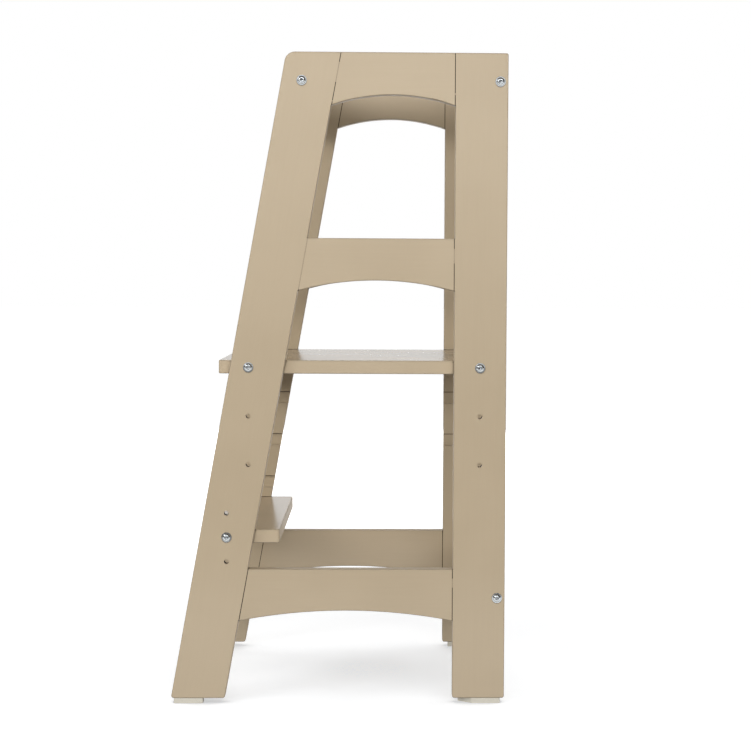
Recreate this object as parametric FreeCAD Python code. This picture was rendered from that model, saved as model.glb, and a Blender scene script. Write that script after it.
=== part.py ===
import FreeCAD, Part
import math
import os

# Kitchen helper stool: two glued side frames carry a platform and a step, three cross rails tie them.
# X runs across the stool, Y from the step side to the counter side, Z up. The origin is on the floor
# under the middle of the stool. "right" is the +X side, the right hand of a child who faces the counter.

# Overall form, in millimetres
overall_width = 400.0               # over the outer faces of the side frames
overall_height = 870.0
base_depth = 448.0                  # from the toe of a front leg to the back of a back leg
front_lean = math.radians(10.1)     # the front legs lean back by this much
board_thickness = 18.0              # side frames and cross rails
edge_round = 1.5                    # routed round on every outline edge

# Side frames
front_leg_width = 71.0              # square to the leg
back_leg_width = 70.0
side_rail_height = 70.0
arch_rise = 14.0                    # rise of the curved lower edge of each side rail
arch_end_run = 3.0                  # straight run at each end of the curve
middle_rail_top = 624.5
lower_rail_top = 181.5
top_corner_radius = 14.0            # at the top of the front leg
back_corner_radius = 2.5            # at the top of the back leg
foot_corner_radius = 3.0
joint_line_width = 1.0              # open line left along each glued joint
joint_line_depth = 2.2

# Platform and step, in housings cut across the legs' inner faces
deck_thickness = 18.0
platform_top = 461.3
platform_pitch = 65.0               # between the platform's three heights
platform_nosing = 17.5              # how far the platform stands out in front of the leg at its top
platform_back_setback = 2.0
step_top = 233.5
step_pitch = 32.5                   # between the step's three heights
step_depth = 104.0
step_front_setback = 1.0
deck_corner_radius = 4.0            # vertical corners of platform and step
housing_depth = 6.0
housing_clearance = 0.5             # above a board in its housing

# Cross rails
cross_rail_height = 75.0
front_rail_setback = 20.5           # from the leg's front edge at the top to the front rail's middle
back_rail_inset = 1.5               # from the legs' back edge to the back rails
lower_cross_rail_drop = 1.0         # from the side rails' top to the lower back rail's top

# Bolts and barrel nuts
bolt_diameter = 6.0
bolt_length = 55.0                  # under the head
bolt_hole_diameter = 6.5
bolt_flange_diameter = 13.6
bolt_flange_thickness = 0.9
bolt_dome_diameter = 10.4
bolt_crown_diameter = 6.0           # the flat round the socket
bolt_head_height = 3.3
bolt_tip_chamfer = 0.8
socket_across_flats = 4.0
socket_depth = 2.0
nut_diameter = 10.0
nut_length = 14.0
nut_bore_gap = 0.15                 # all round the bolt
nut_hole_gap = 0.15                 # all round the nut
nut_end_gap = 0.5                   # behind the nut in its blind hole
nut_from_bolt_tip = 6.0             # from the nut's axis to the bolt's end
nut_slot_width = 1.4
nut_slot_depth = 1.2

# Dowels
dowel_diameter = 8.0
dowel_gap = 0.1                     # all round a dowel
dowel_end_gap = 1.0                 # at each end of a dowel
dowel_chamfer = 0.8
side_dowel_length = 40.0
side_dowel_top_inset = 18.0         # from the rail's top edge to the upper dowel
side_dowel_spacing = 30.0
cross_dowel_in_leg = 10.0
cross_dowel_in_rail = 20.0
cross_dowel_spacing = 44.0          # a pair, one above and one below the bolt

# Foot pads
foot_pad_thickness = 7.0
foot_pad_width = 17.0               # across the leg's thickness
foot_pad_round = 1.0
front_pad_length = 39.0
front_pad_from_toe = 4.0
back_pad_outer_length = 38.0
back_pad_inner_length = 58.0        # the inner end of a back pad is cut at a slant
back_pad_from_heel = 5.5

# Places worked out from the sizes above
outer_x = overall_width / 2
inner_x = outer_x - board_thickness
deck_end_x = inner_x + housing_depth
nut_x = outer_x - bolt_length + nut_from_bolt_tip
back_y = base_depth / 2
back_leg_front_y = back_y - back_leg_width
leg_run = math.tan(front_lean)
platform_levels = [platform_top - n * platform_pitch for n in range(3)]
step_levels = [step_top + n * step_pitch for n in (1, 0, -1)]
cut_margin = 1.0                    # how far a cutting shape runs past the face it opens
same_place = 0.001                  # points nearer to each other than this count as one


def front_leg_front(z):
    return -base_depth / 2 + (z - foot_pad_thickness) * leg_run


def front_leg_back(z):
    return front_leg_front(z) + front_leg_width / math.cos(front_lean)


def front_leg_middle(z):
    return (front_leg_front(z) + front_leg_back(z)) / 2


platform_front_y = front_leg_front(platform_top) - platform_nosing
platform_back_y = back_y - platform_back_setback
step_front_y = front_leg_front(step_top) + step_front_setback
front_rail_y = front_leg_front(overall_height) + front_rail_setback
back_rail_y = back_y - back_rail_inset - board_thickness / 2
top_bolt_z = overall_height - cross_rail_height / 2
lower_bolt_z = lower_rail_top - lower_cross_rail_drop - cross_rail_height / 2
platform_bolt_y = (front_leg_middle(platform_levels[1] - deck_thickness / 2), back_y - back_leg_width / 2)
step_bolt_y = front_leg_middle(step_top - deck_thickness / 2)


def point(x, y, z):
    return FreeCAD.Vector(x, y, z)


def rod(radius, length, start, direction):
    return Part.makeCylinder(radius, length, start, direction)


def box(low, high):
    corner = point(*low)
    return Part.makeBox(high[0] - low[0], high[1] - low[1], high[2] - low[2], corner)


def side_face(outline):
    """A flat face in the plane of the right frame's inner side, from (y, z) corners."""
    corners = [point(inner_x, y, z) for y, z in outline]
    return Part.Face(Part.makePolygon(corners + corners[:1]))


def thicken(face):
    return face.extrude(point(board_thickness, 0, 0))


def mirrored(shape):
    return shape.mirror(point(0, 0, 0), point(1, 0, 0))


def edges_along(shape, axis):
    """The straight edges of a shape that run along one axis: 0, 1 or 2."""
    across = [n for n in range(3) if n != axis]
    found = []
    for edge in shape.Edges:
        first, last = edge.Vertexes[0].Point, edge.Vertexes[-1].Point
        if (last - first).Length > 0 and all(abs(first[n] - last[n]) < same_place for n in across):
            found.append(edge)
    return found


def near(edge, y, z):
    place = edge.Vertexes[0].Point
    return math.hypot(place.y - y, place.z - z) < same_place


# The side frame is drawn glued up, routed as one, and then taken apart at its joints.

def front_leg_face():
    low = foot_pad_thickness
    high = overall_height
    return side_face([
        (front_leg_front(low), low),
        (front_leg_back(low), low),
        (front_leg_back(high), high),
        (front_leg_front(high), high),
    ])


def back_leg_face():
    low = foot_pad_thickness
    high = overall_height
    return side_face([(back_leg_front_y, low), (back_y, low), (back_y, high), (back_leg_front_y, high)])


def side_rail_face(top):
    bottom = top - side_rail_height
    low_front = point(inner_x, front_leg_back(bottom), bottom)
    low_back = point(inner_x, back_leg_front_y, bottom)
    high_front = point(inner_x, front_leg_back(top), top)
    high_back = point(inner_x, back_leg_front_y, top)
    half_span = (low_back - low_front).Length / 2
    arch_radius = (half_span ** 2 + arch_rise ** 2) / 2 / arch_rise
    run = half_span - arch_end_run
    drop = arch_radius - math.sqrt(arch_radius ** 2 - run ** 2)
    crown = (low_front + low_back) / 2 + point(0, 0, arch_rise)
    arch_front = crown - point(0, run, drop)
    arch_back = crown + point(0, run, -drop)
    edges = [
        Part.LineSegment(low_front, arch_front).toShape(),
        Part.Arc(arch_front, crown, arch_back).toShape(),
        Part.LineSegment(arch_back, low_back).toShape(),
        Part.LineSegment(low_back, high_back).toShape(),
        Part.LineSegment(high_back, high_front).toShape(),
        Part.LineSegment(high_front, low_front).toShape(),
    ]
    return Part.Face(Part.Wire(edges))


side_rail_tops = {"top": overall_height, "middle": middle_rail_top, "lower": lower_rail_top}


def routed_frame():
    """One side frame in one piece, with its corners and outline edges rounded."""
    faces = [side_rail_face(top) for top in side_rail_tops.values()]
    blank = thicken(front_leg_face().fuse([back_leg_face()] + faces).removeSplitter())
    low = foot_pad_thickness
    high = overall_height
    corners = [
        (top_corner_radius, front_leg_front(high), high),
        (back_corner_radius, back_y, high),
        (foot_corner_radius, front_leg_front(low), low),
        (foot_corner_radius, front_leg_back(low), low),
        (foot_corner_radius, back_leg_front_y, low),
        (foot_corner_radius, back_y, low),
    ]
    for radius, y, z in corners:
        edge = [e for e in edges_along(blank, 0) if near(e, y, z)]
        blank = blank.makeFillet(radius, edge)
    rims = []
    for edge in blank.Edges:
        ends = [vertex.Point.x for vertex in edge.Vertexes]
        if max(ends) - min(ends) < same_place:
            rims.append(edge)
    return blank.makeFillet(edge_round, rims)


def rail_block(top):
    """The space between the legs that a side rail is cut from."""
    low = top - side_rail_height - cut_margin
    high = top + cut_margin
    return thicken(side_face([
        (front_leg_back(low), low),
        (back_leg_front_y, low),
        (back_leg_front_y, high),
        (front_leg_back(high), high),
    ]))


def joint_line_cuts(top):
    """The open lines along both ends of a side rail, on both of its faces."""
    low = top - side_rail_height - cut_margin
    high = top + cut_margin
    slant = joint_line_width / math.cos(front_lean)
    front = side_face([
        (front_leg_back(low), low),
        (front_leg_back(low) + slant, low),
        (front_leg_back(high) + slant, high),
        (front_leg_back(high), high),
    ])
    back = side_face([
        (back_leg_front_y - joint_line_width, low),
        (back_leg_front_y, low),
        (back_leg_front_y, high),
        (back_leg_front_y - joint_line_width, high),
    ])
    cuts = []
    for face in (front, back):
        cuts.append(face.extrude(point(joint_line_depth, 0, 0)))
        outer = face.translated(point(board_thickness - joint_line_depth, 0, 0))
        cuts.append(outer.extrude(point(joint_line_depth, 0, 0)))
    return cuts


def side_dowel_axes(top):
    """Middle and direction of the four dowels that join a side rail to its legs."""
    x = inner_x + board_thickness / 2
    axes = []
    for drop in (side_dowel_top_inset, side_dowel_top_inset + side_dowel_spacing):
        z = top - drop
        axes.append((point(x, front_leg_back(z), z), point(0, math.cos(front_lean), -math.sin(front_lean))))
        axes.append((point(x, back_leg_front_y, z), point(0, 1, 0)))
    return axes


def centred_rod(radius, length, middle, direction):
    return rod(radius, length, middle - direction * (length / 2), direction)


def side_dowel_holes():
    radius = dowel_diameter / 2 + dowel_gap
    length = side_dowel_length + 2 * dowel_end_gap
    axes = [axis for top in side_rail_tops.values() for axis in side_dowel_axes(top)]
    return [centred_rod(radius, length, middle, direction) for middle, direction in axes]


def dowel(length, middle, direction):
    pin = centred_rod(dowel_diameter / 2, length, middle, direction)
    rims = [edge for edge in pin.Edges if len(edge.Vertexes) == 1 and edge.Curve.TypeId == "Part::GeomCircle"]
    return pin.makeChamfer(dowel_chamfer, rims)


def side_dowels(top):
    return Part.makeCompound([dowel(side_dowel_length, *axis) for axis in side_dowel_axes(top)])


# Cross rails, bolts and nuts on the right side; the left side is its mirror image.

cross_rails = {
    "front_top_rail": (front_rail_y, top_bolt_z),
    "back_top_rail": (back_rail_y, top_bolt_z),
    "back_lower_rail": (back_rail_y, lower_bolt_z),
}
deck_bolts = {
    "platform_front": (platform_bolt_y[0], platform_top - deck_thickness / 2),
    "platform_back": (platform_bolt_y[1], platform_top - deck_thickness / 2),
    "step": (step_bolt_y, step_top - deck_thickness / 2),
}


def cross_dowel_middles(rail):
    y, z = cross_rails[rail]
    x = inner_x + (cross_dowel_in_leg - cross_dowel_in_rail) / 2
    return [point(x, y, z + side * cross_dowel_spacing / 2) for side in (1, -1)]


def cross_dowels(rail):
    length = cross_dowel_in_leg + cross_dowel_in_rail
    pair = [dowel(length, middle, point(1, 0, 0)) for middle in cross_dowel_middles(rail)]
    return Part.makeCompound(pair + [mirrored(pin) for pin in pair])


def cross_dowel_holes(rail):
    radius = dowel_diameter / 2 + dowel_gap
    length = cross_dowel_in_leg + cross_dowel_in_rail + 2 * dowel_end_gap
    return [centred_rod(radius, length, middle, point(1, 0, 0)) for middle in cross_dowel_middles(rail)]


def leg_bolt_holes():
    """Bolt holes through the right frame's legs, at the bolts in use and at the spare heights."""
    places = list(cross_rails.values())
    for level in platform_levels:
        places += [(y, level - deck_thickness / 2) for y in platform_bolt_y]
    places += [(step_bolt_y, level - deck_thickness / 2) for level in step_levels]
    start_x = inner_x - cut_margin
    length = board_thickness + 2 * cut_margin
    return [rod(bolt_hole_diameter / 2, length, point(start_x, y, z), point(1, 0, 0)) for y, z in places]


def housing(level):
    """The cut across a leg that takes the end of a board whose top is at this level."""
    low = (inner_x - cut_margin, -back_y - cut_margin, level - deck_thickness)
    high = (deck_end_x, back_y + cut_margin, level + housing_clearance)
    return box(low, high)


def frame_pieces(frame):
    """The five pieces of the right side frame, cut from the routed frame."""
    dowel_holes = side_dowel_holes()
    for rail in cross_rails:
        dowel_holes += cross_dowel_holes(rail)
    leg_cuts = dowel_holes + leg_bolt_holes() + [housing(level) for level in platform_levels]
    step_cuts = [housing(level) for level in step_levels]
    legs = frame.cut([rail_block(top) for top in side_rail_tops.values()]).Solids
    front_leg, back_leg = sorted(legs, key=lambda leg: leg.CenterOfMass.y)
    pieces = {"front_leg": front_leg.cut(leg_cuts + step_cuts), "back_leg": back_leg.cut(leg_cuts)}
    for name, top in side_rail_tops.items():
        rail = frame.common(rail_block(top))
        pieces[name + "_side_rail"] = rail.cut(joint_line_cuts(top) + side_dowel_holes())
    return pieces


def nut_hole(middle, outward):
    """A blind hole for a barrel nut, open on the face that the outward direction points to."""
    radius = nut_diameter / 2 + nut_hole_gap
    depth_behind = nut_length / 2 + nut_end_gap
    start = middle - outward * depth_behind
    return rod(radius, depth_behind + board_thickness, start, outward)


def bolt_bore(y, z):
    """The hole in the end of a cross piece that takes a bolt's shank, past its nut."""
    start = outer_x - bolt_length - dowel_end_gap
    return rod(bolt_hole_diameter / 2, outer_x - start, point(start, y, z), point(1, 0, 0))


def both_ends(cutters):
    return cutters + [mirrored(cutter) for cutter in cutters]


def cross_rail(name):
    y, z = cross_rails[name]
    half = board_thickness / 2
    bar = box((-inner_x, y - half, z - cross_rail_height / 2), (inner_x, y + half, z + cross_rail_height / 2))
    bar = bar.makeFillet(edge_round, edges_along(bar, 0))
    inward = point(0, -1 if y > 0 else 1, 0)
    cutters = [nut_hole(point(nut_x, y, z), inward), bolt_bore(y, z)] + cross_dowel_holes(name)
    return bar.cut(both_ends(cutters))


def deck(front, back, top, bolts):
    """Platform or step: a board with rounded corners and edges, drilled in both ends."""
    board = box((-deck_end_x, front, top - deck_thickness), (deck_end_x, back, top))
    board = board.makeFillet(deck_corner_radius, edges_along(board, 2))
    rims = []
    for edge in board.Edges:
        heights = [vertex.Point.z for vertex in edge.Vertexes]
        if max(heights) - min(heights) < same_place:
            rims.append(edge)
    board = board.makeFillet(edge_round, rims)
    cutters = []
    for y, z in bolts:
        cutters += [nut_hole(point(nut_x, y, z), point(0, 0, -1)), bolt_bore(y, z)]
    return board.cut(both_ends(cutters))


def bolt(y, z):
    """A flanged button-head bolt, turned about its axis, with a hexagon socket."""
    height = bolt_head_height
    shank = bolt_diameter / 2

    def at(radius, along):
        return point(along, radius, 0)

    brow = at(bolt_crown_diameter / 2, height)
    foot = at(bolt_dome_diameter / 2, bolt_flange_thickness)
    centre_x = (foot.Length ** 2 - brow.Length ** 2) / 2 / (foot.x - brow.x)
    centre = at(0, centre_x)
    towards_shoulder = ((brow + foot) / 2 - centre).normalize()
    shoulder = centre + towards_shoulder * (foot - centre).Length
    edges = [Part.Arc(brow, shoulder, foot).toShape()]
    rest = [
        foot,
        at(bolt_flange_diameter / 2, bolt_flange_thickness),
        at(bolt_flange_diameter / 2, 0),
        at(shank, 0),
        at(shank, bolt_tip_chamfer - bolt_length),
        at(shank - bolt_tip_chamfer, -bolt_length),
        at(0, -bolt_length),
        at(0, height),
        brow,
    ]
    for first, last in zip(rest, rest[1:]):
        edges.append(Part.LineSegment(first, last).toShape())
    turned = Part.Face(Part.Wire(edges)).revolve(point(0, 0, 0), point(1, 0, 0), 360)
    rim = socket_across_flats / 2 / math.cos(math.radians(30))
    corners = []
    for n in range(7):
        angle = math.radians(60 * n)
        corners.append(point(height - socket_depth, rim * math.cos(angle), rim * math.sin(angle)))
    socket = Part.Face(Part.makePolygon(corners)).extrude(point(socket_depth + cut_margin, 0, 0))
    return turned.cut(socket).translated(point(outer_x, y, z))


def barrel_nut(y, z, outward):
    """A cylinder across the bolt, tapped through its middle, with a slot in its open end."""
    middle = point(nut_x, y, z)
    body = centred_rod(nut_diameter / 2, nut_length, middle, outward)
    bore = centred_rod(bolt_diameter / 2 + nut_bore_gap, 2 * nut_diameter, middle, point(1, 0, 0))
    end = middle + outward * (nut_length / 2 - nut_slot_depth)
    reach = outward * (nut_slot_depth + cut_margin)
    side = outward.cross(point(1, 0, 0)) * (nut_slot_width / 2)
    along = point(nut_diameter, 0, 0)
    corners = [end - along - side, end + along - side, end + along + side, end - along + side]
    slot = Part.Face(Part.makePolygon(corners + corners[:1])).extrude(reach)
    return body.cut([bore, slot])


def foot_pad(outline):
    """A flat pad under a leg, from its (x, y) corners on the floor."""
    corners = [point(x, y, 0) for x, y in outline]
    pad = Part.Face(Part.makePolygon(corners + corners[:1])).extrude(point(0, 0, foot_pad_thickness))
    return pad.makeFillet(foot_pad_round, edges_along(pad, 2))


def foot_pads():
    outer = inner_x + (board_thickness + foot_pad_width) / 2
    inner = outer - foot_pad_width
    front = front_leg_front(foot_pad_thickness) + front_pad_from_toe
    back = back_y - back_pad_from_heel
    front_outline = [
        (inner, front),
        (outer, front),
        (outer, front + front_pad_length),
        (inner, front + front_pad_length),
    ]
    back_outline = [
        (inner, back - back_pad_inner_length),
        (outer, back - back_pad_outer_length),
        (outer, back),
        (inner, back),
    ]
    return {"front_foot_pad": foot_pad(front_outline), "back_foot_pad": foot_pad(back_outline)}


def right_pieces():
    pieces = frame_pieces(routed_frame())
    pieces.update(foot_pads())
    for rail, (y, z) in cross_rails.items():
        inward = point(0, -1 if y > 0 else 1, 0)
        pieces[rail + "_bolt"] = bolt(y, z)
        pieces[rail + "_nut"] = barrel_nut(y, z, inward)
    for name, (y, z) in deck_bolts.items():
        pieces[name + "_bolt"] = bolt(y, z)
        pieces[name + "_nut"] = barrel_nut(y, z, point(0, 0, -1))
    for name, top in side_rail_tops.items():
        pieces[name + "_side_dowels"] = side_dowels(top)
    return pieces


def middle_pieces():
    pieces = {name: cross_rail(name) for name in cross_rails}
    platform_bolts = [deck_bolts["platform_front"], deck_bolts["platform_back"]]
    pieces["platform"] = deck(platform_front_y, platform_back_y, platform_top, platform_bolts)
    pieces["step"] = deck(step_front_y, step_front_y + step_depth, step_top, [deck_bolts["step"]])
    for rail in cross_rails:
        pieces[rail + "_dowels"] = cross_dowels(rail)
    return pieces


os.makedirs("parts", exist_ok=True)
everything = middle_pieces()
for name, shape in right_pieces().items():
    everything["right_" + name] = shape
    everything["left_" + name] = mirrored(shape)
for name, shape in everything.items():
    shape.exportStep(os.path.join("parts", name + ".step"))
    solids = len(shape.Solids)
    print(f"{name}: {solids} solid(s), {shape.Volume / 1000:.1f} cm3, valid {shape.isValid()}")
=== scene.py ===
import math

import bpy
from mathutils import Matrix, Quaternion, Vector


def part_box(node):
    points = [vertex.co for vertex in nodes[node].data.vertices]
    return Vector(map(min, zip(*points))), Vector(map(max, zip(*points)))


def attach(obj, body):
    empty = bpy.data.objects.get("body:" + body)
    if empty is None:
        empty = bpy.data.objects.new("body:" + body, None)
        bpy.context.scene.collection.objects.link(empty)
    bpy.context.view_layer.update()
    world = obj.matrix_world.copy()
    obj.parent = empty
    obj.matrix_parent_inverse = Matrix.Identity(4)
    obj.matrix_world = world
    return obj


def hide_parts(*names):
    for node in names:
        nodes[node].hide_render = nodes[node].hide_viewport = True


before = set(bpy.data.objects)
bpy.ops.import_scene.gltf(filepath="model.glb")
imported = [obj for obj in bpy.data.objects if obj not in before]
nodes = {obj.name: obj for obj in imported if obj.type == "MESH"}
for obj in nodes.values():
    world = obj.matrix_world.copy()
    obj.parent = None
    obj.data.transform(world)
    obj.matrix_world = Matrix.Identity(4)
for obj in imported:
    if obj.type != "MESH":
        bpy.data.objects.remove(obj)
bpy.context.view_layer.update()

mm = 0.001
print("frame loaded:", len(nodes), "nodes")


def linear(hexColour):
    channels = [int(hexColour[i:i + 2], 16) / 255 for i in (1, 3, 5)]
    return [c / 12.92 if c <= 0.04045 else ((c + 0.055) / 1.055) ** 2.4 for c in channels] + [1.0]


def addNode(tree, kind, settings={}, links={}):
    node = tree.nodes.new(kind)
    for name, value in settings.items():
        if isinstance(name, int) or name in node.inputs:
            node.inputs[name].default_value = value
        else:
            setattr(node, name, value)
    for name, source in links.items():
        tree.links.new(source, node.inputs[name])
    return node


def newMaterial(name):
    material = bpy.data.materials.new(name)
    material.use_nodes = True
    material.node_tree.nodes.clear()
    return material, material.node_tree


def perMetre(size):  # pattern size in mm to a texture scale
    return 1 / (size * mm)


waveRadians = 20  # how many the wave texture counts to a unit of its scale


# Satin pigmented lacquer, sprayed over sanded solid wood: an even sand colour with a soft sheen. The grain
# shows only as faint long lines under the film, and the film has a little orange peel. Routed edges drink
# the film, so they are duller, and a painted shade darkens them. The open joint lines get a dark colour as
# their painted shade, and a painted shadow line runs under the housings' upper edges.
lacquer = {
    "shade": "#b2a187", "light": "#b7a68c", "tintFrom": 0.3, "tintTo": 0.7,     # by the clouds
    "roughness": 0.2, "roughnessSpread": 0.03, "ior": 1.5,
    "cloudSize": 160, "peelSize": 1.6, "peelDepth": 0.0006,                     # mm
    "grainWidth": 2.4, "grainLength": 70, "grainDepth": 0.003,                  # mm
    "grainShade": 0.985, "grainFrom": 0.35, "grainTo": 0.65,                    # by the grain's noise
    "edgeShade": 0.2, "edgeRoughness": 0.5, "edgeFrom": 0.8,                    # painted edge shade and roughness, by the flatness
    "slotReach": 8, "slotFullShade": 0.25, "slotNoShade": 0.5,                        # mm, by the openness; painted shade in the joint lines
    # dark colour painted into the joint lines as their shade
    "jointShadeColour": "#1f1a14",
    "ledgeReach": 3.0, "ledgeTilt": 1.2, "ledgeFrom": 0.3, "ledgeTo": 0.85,     # mm, by the openness upward
    "ledgeShade": 0.08,                                                         # painted shadow: colour left under a ledge
}


# grainTurn takes the grain from upright, face is the board's flat side, relief scales the bumps
def lacqueredWood(name, grainTurn, face, relief=1.0):
    material, tree = newMaterial(name)
    place = addNode(tree, "ShaderNodeTexCoord")
    along = addNode(tree, "ShaderNodeMapping", {"vector_type": "TEXTURE", "Rotation": grainTurn},
                    {"Vector": place.outputs["Object"]})
    stretch = addNode(tree, "ShaderNodeMapping",
                      {"Scale": (1, 1, lacquer["grainWidth"] / lacquer["grainLength"])},
                      {"Vector": along.outputs["Vector"]})
    grain = addNode(tree, "ShaderNodeTexNoise",
                    {"Scale": perMetre(lacquer["grainWidth"]), "Detail": 5, "Roughness": 0.6},
                    {"Vector": stretch.outputs["Vector"]})
    clouds = addNode(tree, "ShaderNodeTexNoise",
                     {"Scale": perMetre(lacquer["cloudSize"]), "Detail": 2},
                     {"Vector": along.outputs["Vector"]})
    peel = addNode(tree, "ShaderNodeTexNoise",
                   {"Scale": perMetre(lacquer["peelSize"]), "Detail": 1},
                   {"Vector": place.outputs["Object"]})
    tint = addNode(tree, "ShaderNodeValToRGB", {}, {"Fac": clouds.outputs["Fac"]})
    tint.color_ramp.elements[0].position = lacquer["tintFrom"]
    tint.color_ramp.elements[0].color = linear(lacquer["shade"])
    tint.color_ramp.elements[1].position = lacquer["tintTo"]
    tint.color_ramp.elements[1].color = linear(lacquer["light"])
    lines = addNode(tree, "ShaderNodeMapRange",
                    {1: lacquer["grainFrom"], 2: lacquer["grainTo"], 3: lacquer["grainShade"], 4: 1.0},
                    {0: grain.outputs["Fac"]})
    colour = addNode(tree, "ShaderNodeVectorMath", {"operation": "SCALE"},
                     {0: tint.outputs["Color"], "Scale": lines.outputs[0]})
    surface = addNode(tree, "ShaderNodeNewGeometry")
    facing = addNode(tree, "ShaderNodeVectorMath", {"operation": "DOT_PRODUCT", 1: face},
                     {0: surface.outputs["Normal"]})
    flat = addNode(tree, "ShaderNodeMath", {"operation": "POWER", 1: 2.0}, {0: facing.outputs["Value"]})
    side = addNode(tree, "ShaderNodeMath", {"operation": "SUBTRACT", 0: 1.0}, {1: flat.outputs[0]})
    rounded = addNode(tree, "ShaderNodeMath", {"operation": "MULTIPLY"},  # up to a quarter, at 45 degrees
                      {0: flat.outputs[0], 1: side.outputs[0]})
    # painted shade: the colour is darkened where rounded edges turn away from the face
    paintedEdgeShade = addNode(tree, "ShaderNodeMapRange", {2: 0.25, 3: 1.0, 4: 1 - lacquer["edgeShade"]},
                   {0: rounded.outputs[0]})
    # painted shade: narrow joint lines take the dark colour, by how closed in they are
    slot = addNode(tree, "ShaderNodeAmbientOcclusion", {"Distance": lacquer["slotReach"] * mm})
    slotShadeMix = addNode(tree, "ShaderNodeMapRange", {1: lacquer["slotFullShade"], 2: lacquer["slotNoShade"]},
                     {0: slot.outputs["AO"]})
    # painted shadow under ledges and in inside corners, by how closed in each point is looking upward
    upward = addNode(tree, "ShaderNodeVectorMath", {"operation": "ADD", 1: (0, 0, lacquer["ledgeTilt"])},
                     {0: surface.outputs["Normal"]})
    aim = addNode(tree, "ShaderNodeVectorMath", {"operation": "NORMALIZE"}, {0: upward.outputs[0]})
    ledge = addNode(tree, "ShaderNodeAmbientOcclusion", {"Distance": lacquer["ledgeReach"] * mm},
                    {"Normal": aim.outputs[0]})
    shade = addNode(tree, "ShaderNodeMapRange",
                    {1: lacquer["ledgeFrom"], 2: lacquer["ledgeTo"], 3: lacquer["ledgeShade"]},
                    {0: ledge.outputs["AO"], 4: paintedEdgeShade.outputs[0]})
    shaded = addNode(tree, "ShaderNodeVectorMath", {"operation": "SCALE"},
                     {0: colour.outputs[0], "Scale": shade.outputs[0]})
    sheen = addNode(tree, "ShaderNodeMapRange",
                    {3: lacquer["roughness"] - lacquer["roughnessSpread"],
                     4: lacquer["roughness"] + lacquer["roughnessSpread"]},
                    {0: clouds.outputs["Fac"]})
    gloss = addNode(tree, "ShaderNodeMapRange",
                    {1: lacquer["edgeFrom"], 2: 1.0, 3: lacquer["edgeRoughness"]},
                    {0: flat.outputs[0], 4: sheen.outputs[0]})
    peelBump = addNode(tree, "ShaderNodeBump", {"Distance": lacquer["peelDepth"] * mm * relief},
                       {"Height": peel.outputs["Fac"]})
    grainBump = addNode(tree, "ShaderNodeBump", {"Distance": lacquer["grainDepth"] * mm * relief},
                        {"Height": grain.outputs["Fac"], "Normal": peelBump.outputs["Normal"]})
    film = addNode(tree, "ShaderNodeBsdfPrincipled", {"IOR": lacquer["ior"]},
                   {"Base Color": shaded.outputs[0], "Roughness": gloss.outputs[0],
                    "Normal": grainBump.outputs["Normal"]})
    jointShade = addNode(tree, "ShaderNodeBsdfDiffuse", {"Color": linear(lacquer["jointShadeColour"])})
    both = addNode(tree, "ShaderNodeMixShader", {},
                   {0: slotShadeMix.outputs[0], 1: jointShade.outputs[0], 2: film.outputs["BSDF"]})
    addNode(tree, "ShaderNodeOutputMaterial", {}, {"Surface": both.outputs[0]})
    return material


# Zinc-plated steel, cold headed and bright passivated: a cool pale metal with a slightly grainy plated skin,
# and a painted shade that darkens its corners and the socket.
zinc = {
    "pale": "#dde1e3", "dark": "#bcc2c5", "tintFrom": 0.3, "tintTo": 0.65,      # by the skin's noise
    "smoothest": 0.1, "roughest": 0.18,
    "skinSize": 0.9, "skinDepth": 0.002,                                        # mm
    "toolStep": 0.35, "toolDepth": 0.001, "toolWander": 1.5,                    # mm to a radian, mm
    "cornerReach": 3.0, "cornerFrom": 0.35, "cornerTo": 0.85,                   # mm, by the openness
    "cornerShade": 0.1,                                                         # painted shade: colour left in the corners
}


def zincPlatedSteel(name, toolDirection):  # toolDirection is the axis that the forming marks lie across
    material, tree = newMaterial(name)
    place = addNode(tree, "ShaderNodeTexCoord")
    skin = addNode(tree, "ShaderNodeTexNoise", {"Scale": perMetre(zinc["skinSize"]), "Detail": 3},
                   {"Vector": place.outputs["Object"]})
    marks = addNode(tree, "ShaderNodeTexWave",
                    {"bands_direction": toolDirection, "Scale": perMetre(zinc["toolStep"]) / waveRadians,
                     "Distortion": zinc["toolWander"]},
                    {"Vector": place.outputs["Object"]})
    tint = addNode(tree, "ShaderNodeValToRGB", {}, {"Fac": skin.outputs["Fac"]})
    tint.color_ramp.elements[0].position = zinc["tintFrom"]
    tint.color_ramp.elements[0].color = linear(zinc["dark"])
    tint.color_ramp.elements[1].position = zinc["tintTo"]
    tint.color_ramp.elements[1].color = linear(zinc["pale"])
    gloss = addNode(tree, "ShaderNodeMapRange", {3: zinc["smoothest"], 4: zinc["roughest"]},
                    {0: skin.outputs["Fac"]})
    skinBump = addNode(tree, "ShaderNodeBump", {"Distance": zinc["skinDepth"] * mm},
                       {"Height": skin.outputs["Fac"]})
    markBump = addNode(tree, "ShaderNodeBump", {"Distance": zinc["toolDepth"] * mm},
                       {"Height": marks.outputs["Fac"], "Normal": skinBump.outputs["Normal"]})
    # painted shade in the corners and the socket, by how closed in each point is
    corner = addNode(tree, "ShaderNodeAmbientOcclusion", {"Distance": zinc["cornerReach"] * mm})
    shade = addNode(tree, "ShaderNodeMapRange",
                    {1: zinc["cornerFrom"], 2: zinc["cornerTo"], 3: zinc["cornerShade"], 4: 1.0},
                    {0: corner.outputs["AO"]})
    shadedPlating = addNode(tree, "ShaderNodeVectorMath", {"operation": "SCALE"},
                      {0: tint.outputs["Color"], "Scale": shade.outputs[0]})
    metal = addNode(tree, "ShaderNodeBsdfPrincipled", {"Metallic": 1.0},
                    {"Base Color": shadedPlating.outputs[0], "Roughness": gloss.outputs[0],
                     "Normal": markBump.outputs["Normal"]})
    addNode(tree, "ShaderNodeOutputMaterial", {}, {"Surface": metal.outputs["BSDF"]})
    return material


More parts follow.
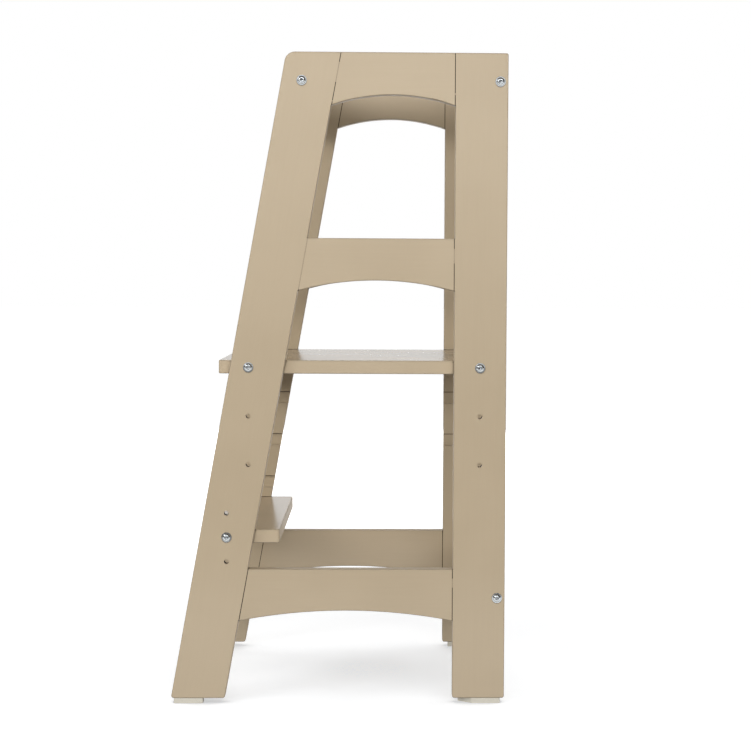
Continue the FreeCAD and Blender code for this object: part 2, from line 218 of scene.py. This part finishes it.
# Turned beech, unfinished: a warm pale brown with short dark flecks along the grain, quite matt.
beech = {
    "pale": "#d9b88e", "fleck": "#b98d60", "fleckFrom": 0.08, "fleckTo": 0.3, "roughness": 0.62,
    "fleckWidth": 0.6, "fleckLength": 3.0, "poreDepth": 0.03,      # mm
}


def turnedBeech(name, grainTurn):
    material, tree = newMaterial(name)
    place = addNode(tree, "ShaderNodeTexCoord")
    along = addNode(tree, "ShaderNodeMapping", {"vector_type": "TEXTURE", "Rotation": grainTurn},
                    {"Vector": place.outputs["Object"]})
    stretch = addNode(tree, "ShaderNodeMapping",
                      {"Scale": (1, 1, beech["fleckWidth"] / beech["fleckLength"])},
                      {"Vector": along.outputs["Vector"]})
    fleck = addNode(tree, "ShaderNodeTexVoronoi", {"Scale": perMetre(beech["fleckWidth"])},
                    {"Vector": stretch.outputs["Vector"]})
    tint = addNode(tree, "ShaderNodeValToRGB", {}, {"Fac": fleck.outputs["Distance"]})
    tint.color_ramp.elements[0].position = beech["fleckFrom"]
    tint.color_ramp.elements[0].color = linear(beech["fleck"])
    tint.color_ramp.elements[1].position = beech["fleckTo"]
    tint.color_ramp.elements[1].color = linear(beech["pale"])
    pores = addNode(tree, "ShaderNodeBump", {"Distance": beech["poreDepth"] * mm},
                    {"Height": fleck.outputs["Distance"]})
    wood = addNode(tree, "ShaderNodeBsdfPrincipled", {"Roughness": beech["roughness"]},
                   {"Base Color": tint.outputs["Color"], "Normal": pores.outputs["Normal"]})
    addNode(tree, "ShaderNodeOutputMaterial", {}, {"Surface": wood.outputs["BSDF"]})
    return material


# Cut EVA foam, off-white: matt, with the small open cells of the sawn face.
foam = {
    "pale": "#cfcabd", "dark": "#c0baaa", "cellFrom": 0.1, "cellTo": 0.45, "roughness": 0.85,
    "cellSize": 0.7, "cellDepth": 0.08,        # mm
}


def cutFoam(name):
    material, tree = newMaterial(name)
    place = addNode(tree, "ShaderNodeTexCoord")
    cells = addNode(tree, "ShaderNodeTexVoronoi", {"Scale": perMetre(foam["cellSize"])},
                    {"Vector": place.outputs["Object"]})
    tint = addNode(tree, "ShaderNodeValToRGB", {}, {"Fac": cells.outputs["Distance"]})
    tint.color_ramp.elements[0].position = foam["cellFrom"]
    tint.color_ramp.elements[0].color = linear(foam["dark"])
    tint.color_ramp.elements[1].position = foam["cellTo"]
    tint.color_ramp.elements[1].color = linear(foam["pale"])
    pits = addNode(tree, "ShaderNodeBump", {"Distance": foam["cellDepth"] * mm},
                   {"Height": cells.outputs["Distance"]})
    pad = addNode(tree, "ShaderNodeBsdfPrincipled", {"Roughness": foam["roughness"]},
                  {"Base Color": tint.outputs["Color"], "Normal": pits.outputs["Normal"]})
    addNode(tree, "ShaderNodeOutputMaterial", {}, {"Surface": pad.outputs["BSDF"]})
    return material


quarter = math.pi / 2
frontLegLean = math.radians(10.1)
uprightLacquer = lacqueredWood("satin lacquered wood, back leg", (0, 0, 0), (1, 0, 0))
leaningLacquer = lacqueredWood("satin lacquered wood, front leg", (-frontLegLean, 0, 0), (1, 0, 0))
sideRailLacquer = lacqueredWood("satin lacquered wood, side rail", (quarter, 0, 0), (1, 0, 0))
crossRailLacquer = lacqueredWood("satin lacquered wood, cross rail", (0, quarter, 0), (0, 1, 0))
deckLacquer = lacqueredWood("satin lacquered wood, platform and step", (0, quarter, 0), (0, 0, 1),
                            relief=0.1)
boltZinc = zincPlatedSteel("zinc plated steel, cold headed", "X")
nutZinc = zincPlatedSteel("zinc plated steel, turned", "Z")
sideBeech = turnedBeech("turned beech, side dowels", (quarter, 0, 0))
crossBeech = turnedBeech("turned beech, cross dowels", (0, quarter, 0))
padFoam = cutFoam("cut EVA foam")

finishes = {                # by the end of a node's name, first match wins
    "front_leg": leaningLacquer,
    "back_leg": uprightLacquer,
    "side_rail": sideRailLacquer,
    "_rail": crossRailLacquer,
    "platform": deckLacquer,
    "step": deckLacquer,
    "_bolt": boltZinc,
    "_nut": nutZinc,
    "side_dowels": sideBeech,
    "_dowels": crossBeech,
    "foot_pad": padFoam,
}
for name, node in nodes.items():
    finish = next(material for ending, material in finishes.items() if name.endswith(ending))
    for slot in node.material_slots:
        slot.material = finish
print("finishes set on the frame's nodes")


# Bolts: flanged button heads with a hexagon socket, modelled once on the Z axis and copied to each place
bolt = {
    "sides": 48, "head": 3.3,                                       # mm, how far a head stands out
    "socketAcross": 4.0, "socketDepth": 2.0, "cutterAbove": 2,      # mm
    "drillPoint": 0.5, "drillTip": 0.3,                             # mm, depth and end radius
    "edge": 0.12, "edgeSteps": 2,                                   # mm
    "bevelAngle": 50, "smoothAngle": 35,                            # degrees
    "rings": [      # radius and height in mm, from the tip to the flat round the socket
        (2.2, -55.0), (3.0, -54.2), (3.0, 0.0), (6.6, 0.0), (6.8, 0.2), (6.8, 0.62), (6.6, 0.86), (5.45, 0.9),
        (5.25, 1.1), (5.1, 1.5), (4.75, 2.1), (4.3, 2.6), (3.75, 3.0), (3.3, 3.2), (2.95, 3.28),
    ],
    "turns": {      # how far each one happened to be turned, in degrees
        "front_top_rail": 12, "back_top_rail": 34, "back_lower_rail": 51,
        "platform_front": 5, "platform_back": 27, "step": 44,
    },
}


def applyModifiers(piece):
    bpy.ops.object.select_all(action="DESELECT")
    piece.select_set(True)
    bpy.context.view_layer.objects.active = piece
    for modifier in list(piece.modifiers):
        bpy.ops.object.modifier_apply(modifier=modifier.name)


def turnedShape(name, sides, rings):  # a disc drawn up ring by ring
    bpy.ops.object.select_all(action="DESELECT")
    radius, height = rings[0]
    bpy.ops.mesh.primitive_circle_add(vertices=sides, radius=radius * mm, fill_type="NGON",
                                      location=(0, 0, height * mm))
    bpy.ops.object.transform_apply(location=True)
    piece = bpy.context.object
    piece.name = name
    bpy.ops.object.mode_set(mode="EDIT")
    bpy.ops.mesh.select_all(action="SELECT")
    for nextRadius, nextHeight in rings[1:]:
        bpy.ops.mesh.extrude_region_move(TRANSFORM_OT_translate={"value": (0, 0, (nextHeight - height) * mm)})
        ratio = nextRadius / radius
        bpy.ops.transform.resize(value=(ratio, ratio, 1), center_override=(0, 0, nextHeight * mm))
        radius, height = nextRadius, nextHeight
    bpy.ops.mesh.select_all(action="SELECT")
    bpy.ops.mesh.normals_make_consistent(inside=False)
    bpy.ops.object.mode_set(mode="OBJECT")
    return piece


def modelBolt():
    piece = turnedShape("bolt", bolt["sides"], bolt["rings"])
    top = bolt["rings"][-1][1]
    reach = bolt["socketAcross"] / 2 / math.cos(math.radians(30))  # from the middle to a hexagon's corner
    low = top - bolt["socketDepth"]
    cutter = turnedShape("socket_cutter", 6, [(bolt["drillTip"], low - bolt["drillPoint"]), (reach, low),
                                              (reach, top + bolt["cutterAbove"])])
    cut = piece.modifiers.new("socket", "BOOLEAN")
    cut.operation = "DIFFERENCE"
    cut.object = cutter
    applyModifiers(piece)
    bpy.data.objects.remove(cutter)
    edge = piece.modifiers.new("edges", "BEVEL")
    edge.width = bolt["edge"] * mm
    edge.segments = bolt["edgeSteps"]
    edge.limit_method = "ANGLE"
    edge.angle_limit = math.radians(bolt["bevelAngle"])
    applyModifiers(piece)
    bpy.ops.object.shade_smooth_by_angle(angle=math.radians(bolt["smoothAngle"]))
    return piece


def placeBolts():
    model = modelBolt()
    for side, outward in (("right", 1), ("left", -1)):
        for place, degrees in bolt["turns"].items():
            node = f"{side}_{place}_bolt"
            low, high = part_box(node)
            face = high.x if outward > 0 else low.x
            seat = Vector((face - outward * bolt["head"] * mm, (low.y + high.y) / 2, (low.z + high.z) / 2))
            piece = model.copy()
            piece.data = model.data.copy()
            piece.name = node + "_detailed"
            bpy.context.collection.objects.link(piece)
            turn = Matrix.Rotation(math.radians(degrees), 4, "Z")
            piece.data.transform(Matrix.Translation(seat) @ Matrix.Rotation(outward * quarter, 4, "Y") @ turn)
            piece.data.materials.append(boltZinc)
            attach(piece, "root")
            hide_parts(node)
    bpy.data.objects.remove(model)


placeBolts()
print("bolts placed")


# Lacquer bridges: where the film closed over the open line of a glued joint. A thin strip in the line,
# its outer face drawn in a little, as a film that shrank when it dried.
bridge = {
    "width": 1.0, "thickness": 0.8, "below": 0.06, "hollow": 0.14,      # mm; the line is 1 mm wide
    "hollowShare": 0.5, "cuts": 5, "smoothAngle": 50,                   # share of the width; degrees
    "places": [     # rail, which end of it, lowest and highest point in mm
        ("right_top_side_rail", "front", 830.5, 857.0),
        ("right_top_side_rail", "front", 804.8, 806.4),
        ("right_top_side_rail", "back", 814.2, 817.0),
        ("right_middle_side_rail", "front", 556.0, 624.0),
        ("right_middle_side_rail", "back", 591.6, 611.0),
        ("right_lower_side_rail", "back", 156.8, 169.2),
        ("left_top_side_rail", "front", 842.0, 861.0),
        ("left_top_side_rail", "back", 806.0, 826.0),
        ("left_middle_side_rail", "front", 580.0, 613.0),
        ("left_lower_side_rail", "back", 121.0, 134.0),
    ],
}


def layBridge(number, rail, end, low, high):
    railLow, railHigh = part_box(rail)
    outward = 1 if rail.startswith("right") else -1
    face = railHigh.x if outward > 0 else railLow.x
    middle = (low + high) / 2 * mm
    half = bridge["width"] / 2 * mm
    lean = frontLegLean if end == "front" else 0
    if end == "front":
        y = railLow.y + (middle - railLow.z) * math.tan(lean) + half / math.cos(lean)
    else:
        y = railHigh.y - half
    depth = (bridge["below"] + bridge["thickness"] / 2) * mm
    bpy.ops.object.select_all(action="DESELECT")
    bpy.ops.mesh.primitive_cube_add(size=1, location=(face - outward * depth, y, middle),
                                    rotation=(-lean, 0, 0))
    piece = bpy.context.object
    piece.name = f"lacquer_bridge_{number + 1}"
    piece.scale = (bridge["thickness"] * mm, bridge["width"] * mm, (high - low) * mm / math.cos(lean))
    bpy.ops.object.transform_apply(location=True, rotation=True, scale=True)
    bpy.ops.object.mode_set(mode="EDIT")
    bpy.ops.mesh.select_all(action="SELECT")
    bpy.ops.mesh.subdivide(number_cuts=bridge["cuts"])
    bpy.ops.object.mode_set(mode="OBJECT")
    outer = max(outward * vertex.co.x for vertex in piece.data.vertices) - 0.01 * mm  # less the rounding
    slope = math.tan(lean)
    for vertex in piece.data.vertices:
        across = abs(vertex.co.y - y - (vertex.co.z - middle) * slope) / (half / math.cos(lean))
        vertex.select = outward * vertex.co.x > outer and across < bridge["hollowShare"]
    bpy.ops.object.mode_set(mode="EDIT")
    bpy.ops.transform.translate(value=(-outward * bridge["hollow"] * mm, 0, 0))
    bpy.ops.object.mode_set(mode="OBJECT")
    bpy.ops.object.shade_smooth_by_angle(angle=math.radians(bridge["smoothAngle"]))
    piece.data.materials.append(sideRailLacquer)
    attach(piece, "root")


for number, place in enumerate(bridge["places"]):
    layBridge(number, *place)
print("lacquer bridges laid")


# Stage: a white floor that shows the lamps' shadows and a painted soft shadow, and a white surround.
# Mirror images show a painted reflection: a dark studio with a bright window in front, and a floor that
# is dark up to that window.
stageLook = {
    "floor": "#b8babd", "floorSize": 60, "floorDrop": 0.0002,                       # metres
    "glowNear": 0.73, "glowFar": 1.0, "glowFrom": 0.5, "glowTo": 1.6,               # metres from the middle
    "contact": 0.57, "contactReach": 0.5, "contactFrom": 0.48, "contactTo": 0.6,    # metres, by the openness; painted shadow
    "darkFloor": 0.12, "darkFloorFrom": 0.9, "darkFloorTo": 1.4,                    # metres along X
    "frontWindow": 0.9, "windowFloorFrom": 9, "windowFloorTo": 16,                  # metres along X
    "windowSideFrom": 0.8, "windowSideTo": 0.92,                                    # by the look's X
    "windowLowFrom": -0.1, "windowLowTo": -0.01,                                    # by the look's Z
    "darkStudio": 0.03, "studioFrom": -0.1, "studioTo": -0.4,                       # by the look's X
    "surroundLight": 0.02,
}


def buildStage():
    bpy.ops.object.select_all(action="DESELECT")
    bpy.ops.mesh.primitive_plane_add(size=stageLook["floorSize"], location=(0, 0, -stageLook["floorDrop"]))
    floor = bpy.context.object
    floor.name = "studio_floor"
    material, tree = newMaterial("matt white studio floor")
    light = addNode(tree, "ShaderNodeLightPath")
    place = addNode(tree, "ShaderNodeTexCoord")
    distance = addNode(tree, "ShaderNodeVectorMath", {"operation": "LENGTH"}, {0: place.outputs["Object"]})
    spread = addNode(tree, "ShaderNodeMapRange",
                     {1: stageLook["glowFrom"], 2: stageLook["glowTo"],
                      3: stageLook["glowNear"], 4: stageLook["glowFar"]}, {0: distance.outputs["Value"]})
    parts = addNode(tree, "ShaderNodeSeparateXYZ", {}, {0: place.outputs["Object"]})
    # painted reflection: mirrors see the floor dark near the stool and bright far in front
    mirrored = addNode(tree, "ShaderNodeMapRange",
                       {1: stageLook["darkFloorFrom"], 2: stageLook["darkFloorTo"],
                        3: 1.0, 4: stageLook["darkFloor"]}, {0: parts.outputs["X"]})
    farFloor = addNode(tree, "ShaderNodeMapRange",
                       {1: stageLook["windowFloorFrom"], 2: stageLook["windowFloorTo"],
                        4: stageLook["frontWindow"]}, {0: parts.outputs["X"]})
    reflected = addNode(tree, "ShaderNodeMath", {"operation": "MAXIMUM"},
                        {0: mirrored.outputs[0], 1: farFloor.outputs[0]})
    asSeen = addNode(tree, "ShaderNodeMapRange", {3: 1.0},
                     {0: light.outputs["Is Glossy Ray"], 4: reflected.outputs[0]})
    straight = addNode(tree, "ShaderNodeMath", {"operation": "MAXIMUM"},
                       {0: light.outputs["Is Camera Ray"], 1: light.outputs["Is Glossy Ray"]})
    # painted shadow: the glow drops where the floor is closed in under the stool
    contact = addNode(tree, "ShaderNodeAmbientOcclusion", {"Distance": stageLook["contactReach"]})
    shadow = addNode(tree, "ShaderNodeMapRange",
                     {1: stageLook["contactFrom"], 2: stageLook["contactTo"],
                      3: stageLook["contact"], 4: 1.0}, {0: contact.outputs["AO"]})
    lit = addNode(tree, "ShaderNodeMath", {"operation": "MULTIPLY"},
                  {0: spread.outputs[0], 1: shadow.outputs[0]})
    shown = addNode(tree, "ShaderNodeMath", {"operation": "MULTIPLY"},
                    {0: straight.outputs[0], 1: asSeen.outputs[0]})
    glow = addNode(tree, "ShaderNodeMath", {"operation": "MULTIPLY"},
                   {0: lit.outputs[0], 1: shown.outputs[0]})
    colour = addNode(tree, "ShaderNodeVectorMath",
                     {"operation": "SCALE", 0: linear(stageLook["floor"])[:3]}, {"Scale": asSeen.outputs[0]})
    paint = addNode(tree, "ShaderNodeBsdfDiffuse", {}, {"Color": colour.outputs[0]})
    shine = addNode(tree, "ShaderNodeEmission", {}, {"Strength": glow.outputs[0]})
    both = addNode(tree, "ShaderNodeAddShader", {}, {0: paint.outputs[0], 1: shine.outputs[0]})
    addNode(tree, "ShaderNodeOutputMaterial", {}, {"Surface": both.outputs[0]})
    floor.data.materials.append(material)

    world = bpy.data.worlds.new("white surround")
    bpy.context.scene.world = world
    world.use_nodes = True
    tree = world.node_tree
    tree.nodes.clear()
    light = addNode(tree, "ShaderNodeLightPath")
    towards = addNode(tree, "ShaderNodeTexCoord")
    parts = addNode(tree, "ShaderNodeSeparateXYZ", {}, {0: towards.outputs["Generated"]})
    # painted reflection: mirrors see a dark studio behind and a bright window in front
    behind = addNode(tree, "ShaderNodeMapRange",
                     {1: stageLook["studioFrom"], 2: stageLook["studioTo"],
                      3: stageLook["darkStudio"], 4: 1.0}, {0: parts.outputs["X"]})
    above = addNode(tree, "ShaderNodeMapRange",
                    {1: stageLook["windowLowFrom"], 2: stageLook["windowLowTo"],
                     4: stageLook["frontWindow"]}, {0: parts.outputs["Z"]})
    window = addNode(tree, "ShaderNodeMapRange",
                     {1: stageLook["windowSideFrom"], 2: stageLook["windowSideTo"]},
                     {0: parts.outputs["X"], 4: above.outputs[0]})
    mirrored = addNode(tree, "ShaderNodeMath", {"operation": "MAXIMUM"},
                       {0: behind.outputs[0], 1: window.outputs[0]})
    glossy = addNode(tree, "ShaderNodeMapRange", {3: stageLook["surroundLight"]},
                     {0: light.outputs["Is Glossy Ray"], 4: mirrored.outputs[0]})
    straight = addNode(tree, "ShaderNodeMath", {"operation": "MAXIMUM"},
                       {0: light.outputs["Is Camera Ray"], 1: light.outputs["Is Transmission Ray"]})
    level = addNode(tree, "ShaderNodeMapRange", {4: 1.0}, {0: straight.outputs[0], 3: glossy.outputs[0]})
    surround = addNode(tree, "ShaderNodeBackground", {"Color": (1, 1, 1, 1)}, {"Strength": level.outputs[0]})
    addNode(tree, "ShaderNodeOutputWorld", {}, {"Surface": surround.outputs[0]})


# Lamps: place, aim, width and height in metres, power in watts. The hidden ones show in no mirror image.
lamps = {
    "front_softbox": {
        "place": (5.4, 0.6, 1.33), "aim": (0, 0.6, 1.33), "size": (5.0, 0.75), "power": 192, "hidden": True},
    "upper_softbox": {
        "place": (5.4, 0.6, 3.27), "aim": (0, 0.6, 3.27), "size": (5.0, 1.75), "power": 93, "hidden": False},
    "left_softbox": {
        "place": (2.5, -2.5, 2.28), "aim": (0, 0, 0.4), "size": (1.6, 1.6), "power": 43, "hidden": False},
    "low_left_softbox": {
        "place": (-0.4, -3.2, 1.2), "aim": (0, 0, 0.5), "size": (1.4, 1.4), "power": 26, "hidden": True},
    "right_softbox": {
        "place": (-0.6, 3.2, 1.8), "aim": (0, 0, 0.5), "size": (2.0, 2.0), "power": 32, "hidden": True},
    "back_softbox": {
        "place": (-4.2, 0.3, 0.9), "aim": (0, 0, 0.45), "size": (2.6, 1.4), "power": 120, "hidden": True},
}


def hangLamps():
    for name, lamp in lamps.items():
        data = bpy.data.lights.new(name, "AREA")
        data.shape = "RECTANGLE"
        data.size, data.size_y = lamp["size"]
        data.energy = lamp["power"]
        light = bpy.data.objects.new(name, data)
        bpy.context.collection.objects.link(light)
        light.location = lamp["place"]
        towards = Vector(lamp["aim"]) - light.location
        light.rotation_euler = towards.to_track_quat("-Z", "Y").to_euler()
        light.visible_camera = False
        light.visible_glossy = not lamp["hidden"]


buildStage()
hangLamps()
print("stage built")


# Camera, fitted to the stool's measured edges in a frame 751 pixels square
cameraSetup = {
    "place": (2.65625, 0.0531, 0.5748),
    "yaw": 0.0256, "pitch": 0.0539, "roll": 0.0052,        # radians, from a level look along -X
    "focalPixels": 1843.6, "framePixels": 751, "shiftPixels": -50.0,
    "sensorWidth": 36,                                     # mm
}


def placeCamera():
    data = bpy.data.cameras.new("camera")
    data.sensor_width = cameraSetup["sensorWidth"]
    data.lens = cameraSetup["focalPixels"] / cameraSetup["framePixels"] * data.sensor_width
    data.shift_x = cameraSetup["shiftPixels"] / cameraSetup["framePixels"]
    camera = bpy.data.objects.new("camera", data)
    bpy.context.collection.objects.link(camera)
    camera.location = cameraSetup["place"]
    yaw, pitch = cameraSetup["yaw"], cameraSetup["pitch"]
    look = Vector((-math.cos(yaw) * math.cos(pitch), math.sin(yaw) * math.cos(pitch), -math.sin(pitch)))
    camera.rotation_mode = "QUATERNION"
    camera.rotation_quaternion = look.to_track_quat("-Z", "Y") @ Quaternion((0, 0, 1), cameraSetup["roll"])
    bpy.context.scene.camera = camera
    bpy.context.scene.view_settings.view_transform = "Standard"


placeCamera()
print("camera placed")
